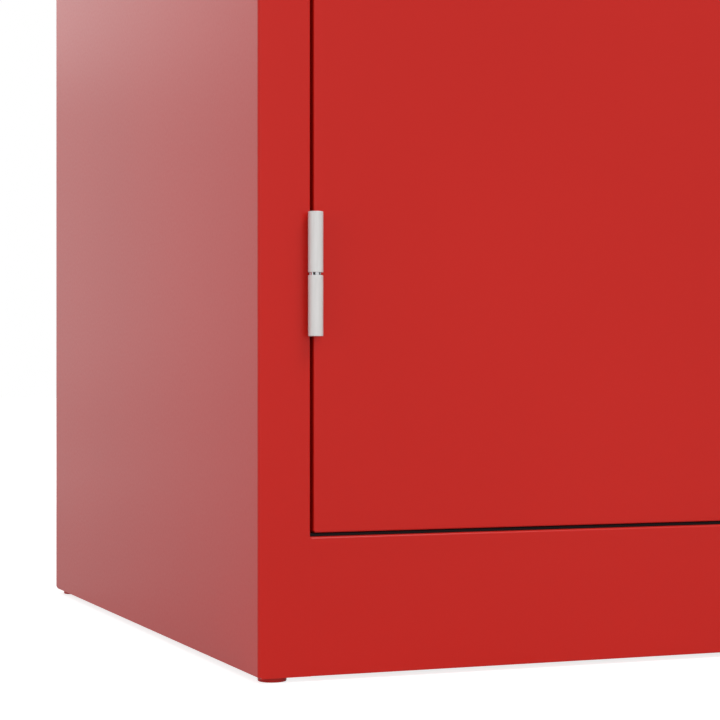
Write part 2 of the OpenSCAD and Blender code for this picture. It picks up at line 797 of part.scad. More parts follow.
// Hat-shaped channel down the middle of the left door
module door_stiffener() {
    skin = front_y + sheet;
    middle = door_x + door_w / 2;
    half = stiffener_w / 2;
    line = [[middle - half - stiffener_flange, skin + sheet], [middle - half, skin + sheet],
        [middle - half, skin + stiffener_d], [middle + half, skin + stiffener_d],
        [middle + half, skin + sheet], [middle + half + stiffener_flange, skin + sheet]];
    end = sheet + door_lip + stiffener_gap;
    color(red) standing_sheet(reversed(line), door_z + end, door_top - end, sheet);
}

// Slide bolt with its finger knob, standing from its foot upwards
module slide_bolt(from) {
    color(zinc) union() {
        upright_rod(bolt_x, bolt_y, from, from + bolt_l, bolt_d);
        depth_rod(bolt_x, from + bolt_l / 2, bolt_y, bolt_y + knob_l, knob_d);
    }
}

module bolt_guides() {
    steps = [bolt_guide_end, bolt_l - bolt_guide_end - guide_h];
    color(nylon) for (start = [top_bolt_z, bottom_bolt_z], step = steps) let (z = start + step) difference() {
        block([bolt_x - bolt_guide_w / 2, front_y + sheet, z],
            [bolt_x + bolt_guide_w / 2, bolt_y + bolt_d / 2 + guide_wall, z + guide_h]);
        upright_rod(bolt_x, bolt_y, z - cut, z + guide_h + cut, bolt_d + 2 * bolt_clear);
    }
}

// Outline of the backplate with two round ends
function backplate_outline() = let (r = backplate_w / 2, rise = backplate_h / 2 - r)
    concat(arc([0, rise], r, 0, 180), arc([0, -rise], r, 180, 360));

module handle_backplate() {
    color(zinc) difference() {
        translate([spindle_x, front_y, spindle_z]) rotate([90, 0, 0])
            linear_extrude(backplate_t) polygon(backplate_outline());
        depth_rod(spindle_x, spindle_z, front_y - backplate_t - cut, front_y + cut,
            spindle_d + 2 * turn_clear);
        handle_screw_holes();
    }
}

module handle_screws() {
    head = latch_plate_y + latch_plate_t;
    color(zinc) for (z = [-handle_screw_pitch / 2, handle_screw_pitch / 2]) union() {
        depth_rod(spindle_x, spindle_z + z, front_y - handle_screw_grip, head, screw_d);
        depth_rod(spindle_x, spindle_z + z, head, head + screw_head_h, screw_head_d);
    }
}

module latch_plate() {
    color(zinc) difference() {
        block([spindle_x - latch_plate_w / 2, latch_plate_y, spindle_z - latch_plate_h / 2],
            [spindle_x + latch_plate_w / 2, latch_plate_y + latch_plate_t, spindle_z + latch_plate_h / 2]);
        depth_rod(spindle_x, spindle_z, latch_plate_y - cut, latch_plate_y + latch_plate_t + cut,
            spindle_d + 2 * turn_clear);
        handle_screw_holes();
    }
}

// Outline of the lever, from its hub to its narrower round end
function lever_outline() = let (
        hub = hub_d / 2,
        end = lever_end_d / 2,
        lean = acos((hub - end) / lever_l))
    concat(arc([lever_l, 0], end, -lean, lean), arc([0, 0], hub, lean, 360 - lean));

module handle_lever() {
    hub_y = front_y - backplate_t - hub_gap;
    face = hub_y - hub_h;
    color(zinc) difference() {
        union() {
            translate([spindle_x, face + lever_t, spindle_z]) rotate([90, 0, 0])
                linear_extrude(lever_t) polygon(lever_outline());
            depth_rod(spindle_x, spindle_z, face + lever_t / 2, hub_y, hub_d - 2 * hub_step);
        }
        depth_rod(spindle_x, spindle_z, face - cut, face + plug_h, plug_d + 2 * turn_clear);
        depth_rod(spindle_x, spindle_z, spindle_start, hub_y + cut, spindle_d + 2 * turn_clear);
    }
}

module spindle() {
    color(zinc) difference() {
        depth_rod(spindle_x, spindle_z, spindle_start, spindle_end, spindle_d);
        depth_rod(spindle_x, spindle_z, spindle_end - crank_screw_grip, spindle_end + cut,
            crank_screw_d + 2 * turn_clear);
    }
}

// Disc on the spindle's inner end, with one pin for each latch rod
module crank_disc() {
    back = crank_y + crank_t;
    color(zinc) difference() {
        union() {
            depth_rod(spindle_x, spindle_z, crank_y, back, crank_d);
            for (angle = [crank_angle, crank_angle + 180]) let (place = turned([crank_r, 0], angle))
                depth_rod(spindle_x + place[0], spindle_z + place[1], crank_y + cut,
                    back + rod_gap + rod_t + crank_pin_over, crank_pin_d);
        }
        depth_rod(spindle_x, spindle_z, crank_y - cut, spindle_end, spindle_d + 2 * turn_clear);
        depth_rod(spindle_x, spindle_z, crank_y, back + cut, crank_screw_d + 2 * turn_clear);
        depth_rod(spindle_x, spindle_z, back - crank_screw_head_h, back + cut,
            crank_screw_head_d + 2 * turn_clear);
    }
}

module crank_screw() {
    back = crank_y + crank_t;
    color(zinc) union() {
        depth_rod(spindle_x, spindle_z, spindle_end - crank_screw_grip, back, crank_screw_d);
        depth_rod(spindle_x, spindle_z, back - crank_screw_head_h, back, crank_screw_head_d);
    }
}

module lock_plug() {
    face = front_y - handle_reach;
    color(zinc) difference() {
        depth_rod(spindle_x, spindle_z, face, face + plug_h, plug_d);
        block([spindle_x - key_w / 2, face - cut, spindle_z - key_l / 2],
            [spindle_x + key_w / 2, face + key_d, spindle_z + key_l / 2]);
    }
}

// Latch rod between two heights, with its slotted end on a crank pin
module latch_rod(x, from, to, pin_z) {
    color(zinc) difference() {
        union() {
            block([x - rod_w / 2, rod_y, from], [x + rod_w / 2, rod_y + rod_t, to]);
            block([x - rod_end_w / 2, rod_y, pin_z - rod_end_h / 2],
                [x + rod_end_w / 2, rod_y + rod_t, pin_z + rod_end_h / 2]);
        }
        block([x - rod_slot_w / 2, rod_y - cut, pin_z - rod_slot_h / 2],
            [x + rod_slot_w / 2, rod_y + rod_t + cut, pin_z + rod_slot_h / 2]);
    }
}

module upper_rod() {
    pin_z = spindle_z - rod_half_throw;
    latch_rod(spindle_x - rod_offset, pin_z, door_top - tip_inset, pin_z);
}

module lower_rod() {
    pin_z = spindle_z + rod_half_throw;
    latch_rod(spindle_x + rod_offset, door_z + tip_inset, pin_z, pin_z);
}

// Guide block that holds a latch rod to the door
module rod_guide(x, z) {
    difference() {
        block([x - guide_w / 2, front_y + sheet, z - guide_h / 2],
            [x + guide_w / 2, rod_y + rod_t + guide_wall, z + guide_h / 2]);
        rod_slot(x, z - guide_h, z + guide_h);
    }
}

module rod_guides() {
    color(nylon) {
        for (z = [spindle_z + guide_mid, door_top - guide_end]) rod_guide(spindle_x - rod_offset, z);
        for (z = [spindle_z - guide_mid, door_z + guide_end]) rod_guide(spindle_x + rod_offset, z);
    }
}

side_panel();  // left_side_panel
on_right() side_panel();  // right_side_panel
top_panel();
back_panel();
header_rail();
front_plinth();
rear_plinth();
floor_panel();
upright(front_upright_y);  // front_left_upright
upright(rear_upright_y);  // rear_left_upright
on_right() upright(front_upright_y);  // front_right_upright
on_right() upright(rear_upright_y);  // rear_right_upright
shelf(1);  // shelf_1
shelf(2);  // shelf_2
shelf(3);  // shelf_3
shelf(4);  // shelf_4
shelf_clips();
foot_plates();
foot_nuts();
back_screws();
door_bumpers();
frame_knuckle(0);  // left_lower_frame_knuckle
frame_knuckle(1);  // left_middle_frame_knuckle
frame_knuckle(2);  // left_upper_frame_knuckle
on_right() frame_knuckle(0);  // right_lower_frame_knuckle
on_right() frame_knuckle(1);  // right_middle_frame_knuckle
on_right() frame_knuckle(2);  // right_upper_frame_knuckle
hinge_pins();
hinge_washers();
left_door_skin();
door_stiffener();  // left_door_stiffener
door_knuckle(0);  // left_lower_door_knuckle
door_knuckle(1);  // left_middle_door_knuckle
door_knuckle(2);  // left_upper_door_knuckle
bolt_guides();
slide_bolt(top_bolt_z);  // top_bolt
slide_bolt(bottom_bolt_z);  // bottom_bolt
right_door_skin();
on_right() door_stiffener();  // right_door_stiffener
on_right() door_knuckle(0);  // right_lower_door_knuckle
on_right() door_knuckle(1);  // right_middle_door_knuckle
on_right() door_knuckle(2);  // right_upper_door_knuckle
handle_backplate();
handle_screws();
latch_plate();
rod_guides();
handle_lever();
spindle();
crank_disc();
crank_screw();
lock_plug();
upper_rod();
lower_rod();
foot(0);  // front_left_foot
on_right() foot(0);  // front_right_foot
foot(1);  // rear_left_foot
on_right() foot(1);  // rear_right_foot
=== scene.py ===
import json
import math

import bmesh
import bpy
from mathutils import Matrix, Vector


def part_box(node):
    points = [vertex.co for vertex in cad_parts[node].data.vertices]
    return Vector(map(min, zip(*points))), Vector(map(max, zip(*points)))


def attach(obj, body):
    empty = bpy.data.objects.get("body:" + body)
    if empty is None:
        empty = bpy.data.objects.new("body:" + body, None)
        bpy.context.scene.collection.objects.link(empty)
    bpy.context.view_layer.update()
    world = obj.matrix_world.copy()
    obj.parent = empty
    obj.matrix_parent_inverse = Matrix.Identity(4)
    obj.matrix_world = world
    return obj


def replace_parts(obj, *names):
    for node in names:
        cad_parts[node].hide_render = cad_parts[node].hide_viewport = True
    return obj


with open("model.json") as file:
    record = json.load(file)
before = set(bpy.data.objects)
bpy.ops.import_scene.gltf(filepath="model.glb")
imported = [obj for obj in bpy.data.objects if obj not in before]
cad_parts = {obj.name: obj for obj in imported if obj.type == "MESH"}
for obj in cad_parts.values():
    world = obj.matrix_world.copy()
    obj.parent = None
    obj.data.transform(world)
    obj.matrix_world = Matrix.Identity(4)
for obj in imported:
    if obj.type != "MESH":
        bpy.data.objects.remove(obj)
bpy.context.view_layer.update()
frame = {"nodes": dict(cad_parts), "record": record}        # the cabinet's solids, in metres
scene = bpy.context.scene
scene.view_settings.view_transform = "Standard"

slotOfNode = {row["node"]: row["material_slot"] for row in frame["record"]["subparts"]}
bodyOfNode = {node: body for body, nodes in frame["record"]["behaviour"]["bodies"].items() for node in nodes}

# lines of the front frame that several pieces share
frontLines = {
    "doorEdge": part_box("front_plinth")[0].x,       # where the stile ends and the plinth begins
    "plinthTop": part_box("front_plinth")[1].z,
    "headerFoot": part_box("left_door_skin")[1].z,
    "face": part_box("front_plinth")[0].y,
}


# camera, level, with the horizon a little under the middle of the picture
cameraPlace = {
    "fromCorner": (-0.3913, -1.18, 0.1889),        # metres from the lower front left corner of the body
    "heading": 21.37,                              # degrees to the right of straight ahead
    "lens": 96.3,
    "sensor": 36.0,
    "horizonDrop": 26.5,                           # pixels under the middle
    "picture": 720,                                # pixels
    "near": 0.05,                                  # metres, nothing closer is shown
}


def placeCamera(settings):
    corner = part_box("left_side_panel")[0]
    data = bpy.data.cameras.new("camera")
    data.lens = settings["lens"]
    data.sensor_width = settings["sensor"]
    data.shift_y = settings["horizonDrop"] / settings["picture"]
    data.clip_start = settings["near"]
    camera = bpy.data.objects.new("camera", data)
    camera.location = corner + Vector(settings["fromCorner"])
    camera.rotation_euler = (math.radians(90), 0, -math.radians(settings["heading"]))
    scene.collection.objects.link(camera)
    scene.camera = camera


placeCamera(cameraPlace)
print("camera placed")


# white surroundings, soft lamps and a pale floor
studio = {
    "ambient": 0.52,                               # light from all round, on the object
    "white": 1.0,                                  # what the camera and gloss see behind the object
    "floorHalf": 30.0,                             # metres
    "floorDrop": 0.0001,
    "floorShade": 0.6,                             # colour of the floor in the lamps' light
    "floorGlow": {"Is Camera Ray": 0.8, "Is Glossy Ray": 0.4, "Is Transmission Ray": 0.4},
}
lamps = {
    "key": {"at": (-1.0, -5.4, 1.9), "aim": (-0.2, -0.285, 0.5), "size": 4.6, "power": 75.0, "gloss": False},
    "fill": {"at": (-3.6, -1.2, 0.8), "aim": (-0.5, 0.0, 0.3), "size": 2.4, "power": 19.0, "gloss": False},
    "overhead": {"at": (3.0, -6.0, 10.5), "aim": (-0.1, -0.285, 0.6), "size": 4.5, "power": 480.0,
                 "gloss": True},
    "sheen": {"at": (-1.0, 4.5, 2.4), "aim": (-0.5, 0.0, 0.4), "size": 2.6, "power": 13.0, "gloss": True},
}


def seenDirectly(tree, shares):
    rays = tree.nodes.new("ShaderNodeLightPath")
    found = None
    for kind, share in shares.items():
        part = tree.nodes.new("ShaderNodeMath")
        part.operation = "MULTIPLY_ADD"
        part.inputs[1].default_value = share
        part.inputs[2].default_value = 0.0
        tree.links.new(rays.outputs[kind], part.inputs[0])
        if found:
            tree.links.new(found, part.inputs[2])
        found = part.outputs[0]
    return found


def whiteWorld(settings):
    world = bpy.data.worlds.new("whiteSurroundings")
    world.use_nodes = True
    tree = world.node_tree
    tree.nodes.clear()
    out = tree.nodes.new("ShaderNodeOutputWorld")
    choice = tree.nodes.new("ShaderNodeMixShader")
    light = tree.nodes.new("ShaderNodeBackground")
    light.inputs["Strength"].default_value = settings["ambient"]
    shown = tree.nodes.new("ShaderNodeBackground")
    shown.inputs["Strength"].default_value = settings["white"]
    for shade in (light, shown):
        shade.inputs["Color"].default_value = (1, 1, 1, 1)
    allShown = {"Is Camera Ray": 1.0, "Is Glossy Ray": 1.0, "Is Transmission Ray": 1.0}
    tree.links.new(seenDirectly(tree, allShown), choice.inputs[0])
    tree.links.new(light.outputs[0], choice.inputs[1])
    tree.links.new(shown.outputs[0], choice.inputs[2])
    tree.links.new(choice.outputs[0], out.inputs["Surface"])
    scene.world = world


def paleFloor(settings):
    half = settings["floorHalf"]
    mesh = bpy.data.meshes.new("floor")
    corners = [(-half, -half), (half, -half), (half, half), (-half, half)]
    mesh.from_pydata([(x, y, -settings["floorDrop"]) for x, y in corners], [], [(0, 1, 2, 3)])
    floor = bpy.data.objects.new("floor", mesh)
    scene.collection.objects.link(floor)
    finish = bpy.data.materials.new("paleFloor")
    finish.use_nodes = True
    tree = finish.node_tree
    tree.nodes.clear()
    out = tree.nodes.new("ShaderNodeOutputMaterial")
    matt = tree.nodes.new("ShaderNodeBsdfDiffuse")
    matt.inputs["Color"].default_value = (settings["floorShade"],) * 3 + (1,)
    glow = tree.nodes.new("ShaderNodeEmission")
    both = tree.nodes.new("ShaderNodeAddShader")
    tree.links.new(seenDirectly(tree, settings["floorGlow"]), glow.inputs["Strength"])
    tree.links.new(matt.outputs[0], both.inputs[0])
    tree.links.new(glow.outputs[0], both.inputs[1])
    tree.links.new(both.outputs[0], out.inputs["Surface"])
    mesh.materials.append(finish)


def softLamp(name, settings):
    data = bpy.data.lights.new(name, "AREA")
    data.shape = "DISK"
    data.size = settings["size"]
    data.energy = settings["power"]
    lamp = bpy.data.objects.new(name, data)
    lamp.location = settings["at"]
    aim = Vector(settings["aim"]) - lamp.location
    lamp.rotation_euler = aim.to_track_quat("-Z", "Y").to_euler()
    lamp.visible_glossy = settings["gloss"]
    scene.collection.objects.link(lamp)


whiteWorld(studio)
paleFloor(studio)
for lampName, lampSettings in lamps.items():
    softLamp(lampName, lampSettings)
print("studio lit with", len(lamps), "lamps")


# finishes, each read from Object coordinates
patternRange = (0.3, 0.7)                          # a noise seldom leaves this part of its range


def newFinish(name):
    finish = bpy.data.materials.new(name)
    finish.use_nodes = True
    tree = finish.node_tree
    tree.nodes.clear()
    out = tree.nodes.new("ShaderNodeOutputMaterial")
    shader = tree.nodes.new("ShaderNodeBsdfPrincipled")
    tree.links.new(shader.outputs["BSDF"], out.inputs["Surface"])
    return finish, tree, shader


def noiseOf(tree, scale, detail, stretch=(1, 1, 1)):
    coordinates = tree.nodes.new("ShaderNodeTexCoord")
    spread = tree.nodes.new("ShaderNodeMapping")
    spread.inputs["Scale"].default_value = stretch
    noise = tree.nodes.new("ShaderNodeTexNoise")
    noise.inputs["Scale"].default_value = scale
    noise.inputs["Detail"].default_value = detail
    tree.links.new(coordinates.outputs["Object"], spread.inputs["Vector"])
    tree.links.new(spread.outputs["Vector"], noise.inputs["Vector"])
    return noise.outputs["Fac"]


def cellsOf(tree, scale):
    coordinates = tree.nodes.new("ShaderNodeTexCoord")
    cells = tree.nodes.new("ShaderNodeTexVoronoi")
    cells.inputs["Scale"].default_value = scale
    tree.links.new(coordinates.outputs["Object"], cells.inputs["Vector"])
    grey = tree.nodes.new("ShaderNodeRGBToBW")
    tree.links.new(cells.outputs["Color"], grey.inputs["Color"])
    return grey.outputs["Val"]


def between(tree, pattern, low, high):
    span = tree.nodes.new("ShaderNodeMapRange")
    span.inputs["From Min"].default_value = patternRange[0]
    span.inputs["From Max"].default_value = patternRange[1]
    span.inputs["To Min"].default_value = low
    span.inputs["To Max"].default_value = high
    tree.links.new(pattern, span.inputs["Value"])
    return span.outputs["Result"]


def shadesOf(tree, pattern, dark, light):
    mix = tree.nodes.new("ShaderNodeMix")
    mix.data_type = "RGBA"
    mix.inputs["A"].default_value = (*dark, 1)
    mix.inputs["B"].default_value = (*light, 1)
    tree.links.new(between(tree, pattern, 0, 1), mix.inputs["Factor"])
    return mix.outputs["Result"]


def bumpOf(tree, pattern, strength, height):
    bump = tree.nodes.new("ShaderNodeBump")
    bump.inputs["Strength"].default_value = strength
    bump.inputs["Distance"].default_value = height
    tree.links.new(pattern, bump.inputs["Height"])
    return bump.outputs["Normal"]


powderCoat = {
    "dark": (0.54, 0.0115, 0.0064),
    "light": (0.57, 0.0132, 0.0076),
    "footTone": 1.1,                               # painted light: the feet's red is lifted a little to make up for the shade they stand in
    "cloud": 3.0,                                  # patches to the metre
    "cloudDetail": 3.0,
    "peel": 420.0,                                 # dimples to the metre
    "peelDetail": 1.0,
    "peelHeight": 0.00002,                         # metres
    "peelStrength": 0.35,
    "gloss": (0.28, 0.32),                         # roughness, from and to
    "bending": 1.33,                               # index of refraction of the lacquer
}


# paintedLight lifts the whole colour, as painted light on a part that stands in shade
def redPaint(name, settings, paintedLight=1.0):
    finish, tree, shader = newFinish(name)
    dark, light = [tuple(paintedLight * c for c in settings[key]) for key in ("dark", "light")]
    cloud = noiseOf(tree, settings["cloud"], settings["cloudDetail"])
    tree.links.new(shadesOf(tree, cloud, dark, light), shader.inputs["Base Color"])
    peel = noiseOf(tree, settings["peel"], settings["peelDetail"])
    tree.links.new(between(tree, peel, *settings["gloss"]), shader.inputs["Roughness"])
    dimples = bumpOf(tree, peel, settings["peelStrength"], settings["peelHeight"])
    tree.links.new(dimples, shader.inputs["Normal"])
    shader.inputs["IOR"].default_value = settings["bending"]
    return finish


metals = {
    "hinge_steel": {"dark": (0.65, 0.65, 0.64), "light": (0.7, 0.7, 0.69), "gloss": (0.42, 0.5),
                    "grain": 60.0, "stretch": (12, 12, 0.6), "metal": 0.25, "height": 0.00002},
    "polished_steel": {"dark": (0.55, 0.56, 0.57), "light": (0.68, 0.69, 0.7), "gloss": (0.12, 0.2),
                       "grain": 80.0, "stretch": (1, 1, 14), "metal": 1.0, "height": 0.000008},
    "zinc_plate": {"dark": (0.42, 0.44, 0.455), "light": (0.53, 0.545, 0.555), "gloss": (0.28, 0.42),
                   "grain": 35.0, "stretch": (1, 1, 1), "metal": 1.0, "height": 0.00001},
    "satin_nickel": {"dark": (0.36, 0.355, 0.34), "light": (0.44, 0.435, 0.42), "gloss": (0.26, 0.36),
                     "grain": 90.0, "stretch": (0.8, 14, 14), "metal": 1.0, "height": 0.00001},
}
metalGrain = {"detail": 4.0, "strength": 0.3}


def bareMetal(name, settings):
    finish, tree, shader = newFinish(name)
    grain = noiseOf(tree, settings["grain"], metalGrain["detail"], settings["stretch"])
    tree.links.new(shadesOf(tree, grain, settings["dark"], settings["light"]), shader.inputs["Base Color"])
    tree.links.new(between(tree, grain, *settings["gloss"]), shader.inputs["Roughness"])
    scratches = bumpOf(tree, grain, metalGrain["strength"], settings["height"])
    tree.links.new(scratches, shader.inputs["Normal"])
    shader.inputs["Metallic"].default_value = settings["metal"]
    return finish


spangle = {"dark": (0.5, 0.515, 0.53), "light": (0.58, 0.595, 0.61), "cells": 55.0, "gloss": (0.38, 0.46),
           "metal": 0.85, "height": 0.00002, "strength": 0.15}


def galvanised(settings):
    finish, tree, shader = newFinish("galvanisedSheet")
    cells = cellsOf(tree, settings["cells"])
    tree.links.new(shadesOf(tree, cells, settings["dark"], settings["light"]), shader.inputs["Base Color"])
    tree.links.new(between(tree, cells, *settings["gloss"]), shader.inputs["Roughness"])
    crystals = bumpOf(tree, cells, settings["strength"], settings["height"])
    tree.links.new(crystals, shader.inputs["Normal"])
    shader.inputs["Metallic"].default_value = settings["metal"]
    return finish


moulded = {
    "nylon": {"dark": (0.018, 0.018, 0.02), "light": (0.03, 0.03, 0.033), "gloss": (0.42, 0.55),
              "grain": 900.0, "bending": 1.5},
    "rubber": {"dark": (0.01, 0.008, 0.009), "light": (0.018, 0.015, 0.016), "gloss": (0.75, 0.9),
               "grain": 500.0, "bending": 1.3},
}
mouldGrain = {"detail": 2.0, "height": 0.00005, "strength": 0.4}


def mouldedPlastic(name, settings):
    finish, tree, shader = newFinish(name)
    grain = noiseOf(tree, settings["grain"], mouldGrain["detail"])
    tree.links.new(shadesOf(tree, grain, settings["dark"], settings["light"]), shader.inputs["Base Color"])
    tree.links.new(between(tree, grain, *settings["gloss"]), shader.inputs["Roughness"])
    skin = bumpOf(tree, grain, mouldGrain["strength"], mouldGrain["height"])
    tree.links.new(skin, shader.inputs["Normal"])
    shader.inputs["IOR"].default_value = settings["bending"]
    return finish


finishes = {
    "red_paint": redPaint("redPowderCoat", powderCoat),
    # the feet get a lighter copy of the red paint, painted light for the shade under the cabinet
    "foot_paint": redPaint("footPaint", powderCoat, powderCoat["footTone"]),
    "galvanised_sheet": galvanised(spangle),
}
finishes.update({slot: bareMetal(slot, settings) for slot, settings in metals.items()})
finishes.update({slot: mouldedPlastic(slot, settings) for slot, settings in moulded.items()})
print("finishes:", ", ".join(sorted(finishes)))


# dressed copies of the solids, with their edges broken as on folded and machined metal
edgeBreak = {
    "red_paint": 0.0003,                           # metres
    "galvanised_sheet": 0.00025,
    "hinge_steel": 0.00025,
    "polished_steel": 0.0006,
    "zinc_plate": 0.0003,
    "satin_nickel": 0.0004,
    "nylon": 0.001,
    "rubber": 0.0005,
}
castEdge = {"handle_lever": 0.003, "handle_backplate": 0.0018}     # metres, where an edge is cast round
shading = {
    "weld": 1e-6,                                  # metres, closer points become one
    "flat": 0.3,                                   # degrees, flatter joints between faces go
    "break": 35.0,                                 # degrees, sharper edges are broken
    "sharp": 50.0,                                 # degrees, sharper edges shade crisp
    "steps": 2,                                    # facets across a broken edge
    "castSteps": 4,                                # and across a cast one
    "profile": 0.5,                                # of a broken edge, here an arc
    "seamReach": 1e-5,                             # metres
    "digits": 5,                                   # of a corner in metres, to sort solids by
}
fullName = {"spindle": "handle_spindle"}           # a node of one word would share its name with its piece


def camelName(node):
    words = fullName.get(node, node).split("_")
    return words[0] + "".join(word.capitalize() for word in words[1:])


def onSeam(edge):
    # the stile runs into the plinth and the header without a visible joint
    doorEdge, reach = abs(frontLines["doorEdge"]), shading["seamReach"]
    low, high = frontLines["plinthTop"] - reach, frontLines["headerFoot"] + reach
    return all(abs(abs(v.co.x) - doorEdge) < reach and not low < v.co.z < high for v in edge.verts)


def mergedCopy(node):
    bm = bmesh.new()
    bm.from_mesh(frame["nodes"][node].data)
    bmesh.ops.remove_doubles(bm, verts=bm.verts, dist=shading["weld"])
    bmesh.ops.dissolve_limit(bm, angle_limit=math.radians(shading["flat"]), verts=bm.verts, edges=bm.edges)
    return bm


def breakEdges(bm, width, steps):
    limit = math.radians(shading["break"])
    sharp = [e for e in bm.edges if e.is_manifold and e.calc_face_angle() > limit and not onSeam(e)]
    bmesh.ops.bevel(bm, geom=sharp, offset=width, offset_type="OFFSET", segments=steps,
                    profile=shading["profile"], affect="EDGES", clamp_overlap=True)
    bmesh.ops.dissolve_degenerate(bm, dist=shading["weld"], edges=bm.edges)


def meshOf(name, bm):
    mesh = bpy.data.meshes.new(name)
    bm.to_mesh(mesh)
    bm.free()
    return mesh


def finishedPiece(name, mesh, body, slot):
    mesh.name = name
    mesh.shade_smooth()
    mesh.set_sharp_from_angle(angle=math.radians(shading["sharp"]))
    if not mesh.materials:
        mesh.materials.append(finishes[slot])
    piece = bpy.data.objects.new(name, mesh)
    scene.collection.objects.link(piece)
    flat = piece.modifiers.new("flatFaces", "WEIGHTED_NORMAL")
    flat.keep_sharp = True
    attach(piece, body)
    return piece


def inPlaceOf(node, mesh):
    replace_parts(finishedPiece(camelName(node), mesh, bodyOfNode[node], slotOfNode[node]), node)


def dressNode(node):
    bm = mergedCopy(node)
    if node in castEdge:
        breakEdges(bm, castEdge[node], shading["castSteps"])
    else:
        breakEdges(bm, edgeBreak[slotOfNode[node]], shading["steps"])
    inPlaceOf(node, meshOf(node, bm))


feet = [node for node in frame["nodes"] if node.endswith("_foot")]
screwNodes = ["back_screws", "handle_screws", "crank_screw"]
ownShape = feet + screwNodes + ["hinge_washers"]
for nodeName in frame["nodes"]:
    if nodeName not in ownShape:
        dressNode(nodeName)
print("dressed", len(frame["nodes"]) - len(ownShape), "solids")


# the boxes of the separate solids in one node, in a fixed order
def solidBoxes(node):
    bm = mergedCopy(node)
    seen, boxes = set(), []
    for first in bm.verts:
        if first in seen:
            continue
        seen.add(first)
        group = [first]
        for vert in group:
            near = [e.other_vert(vert) for e in vert.link_edges]
            fresh = [v for v in near if v not in seen]
            seen.update(fresh)
            group.extend(fresh)
        spans = [[v.co[axis] for v in group] for axis in range(3)]
        boxes.append((Vector([min(s) for s in spans]), Vector([max(s) for s in spans])))
    bm.free()
    return sorted(boxes, key=lambda box: [round(c, shading["digits"]) for c in box[0]])


# node trees for what repeats
towardsBack = (0.0, 1.0, 0.0)                      # the way that screws and weld marks face


def newTree(name, inputs):
    tree = bpy.data.node_groups.new(name, "GeometryNodeTree")
    tree.interface.new_socket(name="Geometry", in_out="INPUT", socket_type="NodeSocketGeometry")
    for label, kind in inputs.items():
        tree.interface.new_socket(name=label, in_out="INPUT", socket_type="NodeSocket" + kind)
    tree.interface.new_socket(name="Geometry", in_out="OUTPUT", socket_type="NodeSocketGeometry")
    return tree, tree.nodes.new("NodeGroupInput").outputs


def addNode(tree, kind, inputs, **options):
    node = tree.nodes.new(kind)
    for option, value in options.items():
        setattr(node, option, value)
    for place, value in inputs.items():
        if isinstance(value, bpy.types.NodeSocket):
            tree.links.new(value, node.inputs[place])
        else:
            node.inputs[place].default_value = value
    return node.outputs


def mathOf(tree, operation, first, second):
    return addNode(tree, "ShaderNodeMath", {0: first, 1: second}, operation=operation)[0]


def vectorOf(tree, x, y, z):
    return addNode(tree, "ShaderNodeCombineXYZ", {0: x, 1: y, 2: z})[0]


def liftedBy(tree, shape, height):
    move = {"Geometry": shape, "Translation": vectorOf(tree, 0, 0, height)}
    return addNode(tree, "GeometryNodeTransform", move)[0]


def discOf(tree, width, height, around, rings):
    radius = mathOf(tree, "MULTIPLY", width, 0.5)
    sizes = {"Vertices": around, "Fill Segments": rings, "Radius": radius, "Depth": height}
    disc = addNode(tree, "GeometryNodeMeshCylinder", sizes, fill_type="TRIANGLE_FAN")["Mesh"]
    return liftedBy(tree, disc, mathOf(tree, "MULTIPLY", height, 0.5))


def topShaped(tree, disc, width, height, profile):
    # profile gives the rise of the top from the share of the way out to the rim
    axes = addNode(tree, "ShaderNodeSeparateXYZ", {0: addNode(tree, "GeometryNodeInputPosition", {})[0]})
    flat = vectorOf(tree, axes["X"], axes["Y"], 0)
    out = addNode(tree, "ShaderNodeVectorMath", {0: flat}, operation="LENGTH")["Value"]
    share = mathOf(tree, "DIVIDE", mathOf(tree, "MULTIPLY", out, 2.0), width)
    upper = mathOf(tree, "DIVIDE", axes["Z"], height)
    rise = mathOf(tree, "MULTIPLY", upper, profile(share))
    lift = {"Geometry": disc, "Offset": vectorOf(tree, 0, 0, rise)}
    return addNode(tree, "GeometryNodeSetPosition", lift)[0]


def setOnPoints(tree, given, shape):
    turn = addNode(tree, "FunctionNodeAlignRotationToVector", {"Vector": given["facing"]}, axis="Z")[0]
    halfTurn = {2: 0.0, 3: math.pi, "Seed": given["seed"]}     # inputs 2 and 3 are the least and the most
    chance = addNode(tree, "FunctionNodeRandomValue", halfTurn, data_type="FLOAT")
    spin = addNode(tree, "FunctionNodeAxisAngleToRotation", {"Angle": chance[1]})[0]
    turned = addNode(tree, "FunctionNodeRotateRotation", {0: turn, 1: spin}, rotation_space="LOCAL")[0]
    places = {"Points": given["Geometry"], "Instance": shape, "Rotation": turned}
    copies = addNode(tree, "GeometryNodeInstanceOnPoints", places)[0]
    real = addNode(tree, "GeometryNodeRealizeInstances", {0: copies})[0]
    finished = addNode(tree, "GeometryNodeSetMaterial", {"Geometry": real, "Material": given["finish"]})[0]
    addNode(tree, "NodeGroupOutput", {0: finished})


def grownOn(points, tree, inputs):
    carrier = bpy.data.objects.new(tree.name, bpy.data.meshes.new(tree.name))
    carrier.data.from_pydata(points, [], [])
    scene.collection.objects.link(carrier)
    grow = carrier.modifiers.new("grow", "NODES")
    grow.node_group = tree
    for socket in tree.interface.items_tree:
        if socket.in_out == "INPUT" and socket.name in inputs:
            grow[socket.identifier] = inputs[socket.name]
    mesh = bpy.data.meshes.new_from_object(carrier.evaluated_get(bpy.context.evaluated_depsgraph_get()))
    carrier.modifiers.remove(grow)
    bpy.data.objects.remove(carrier)
    return mesh


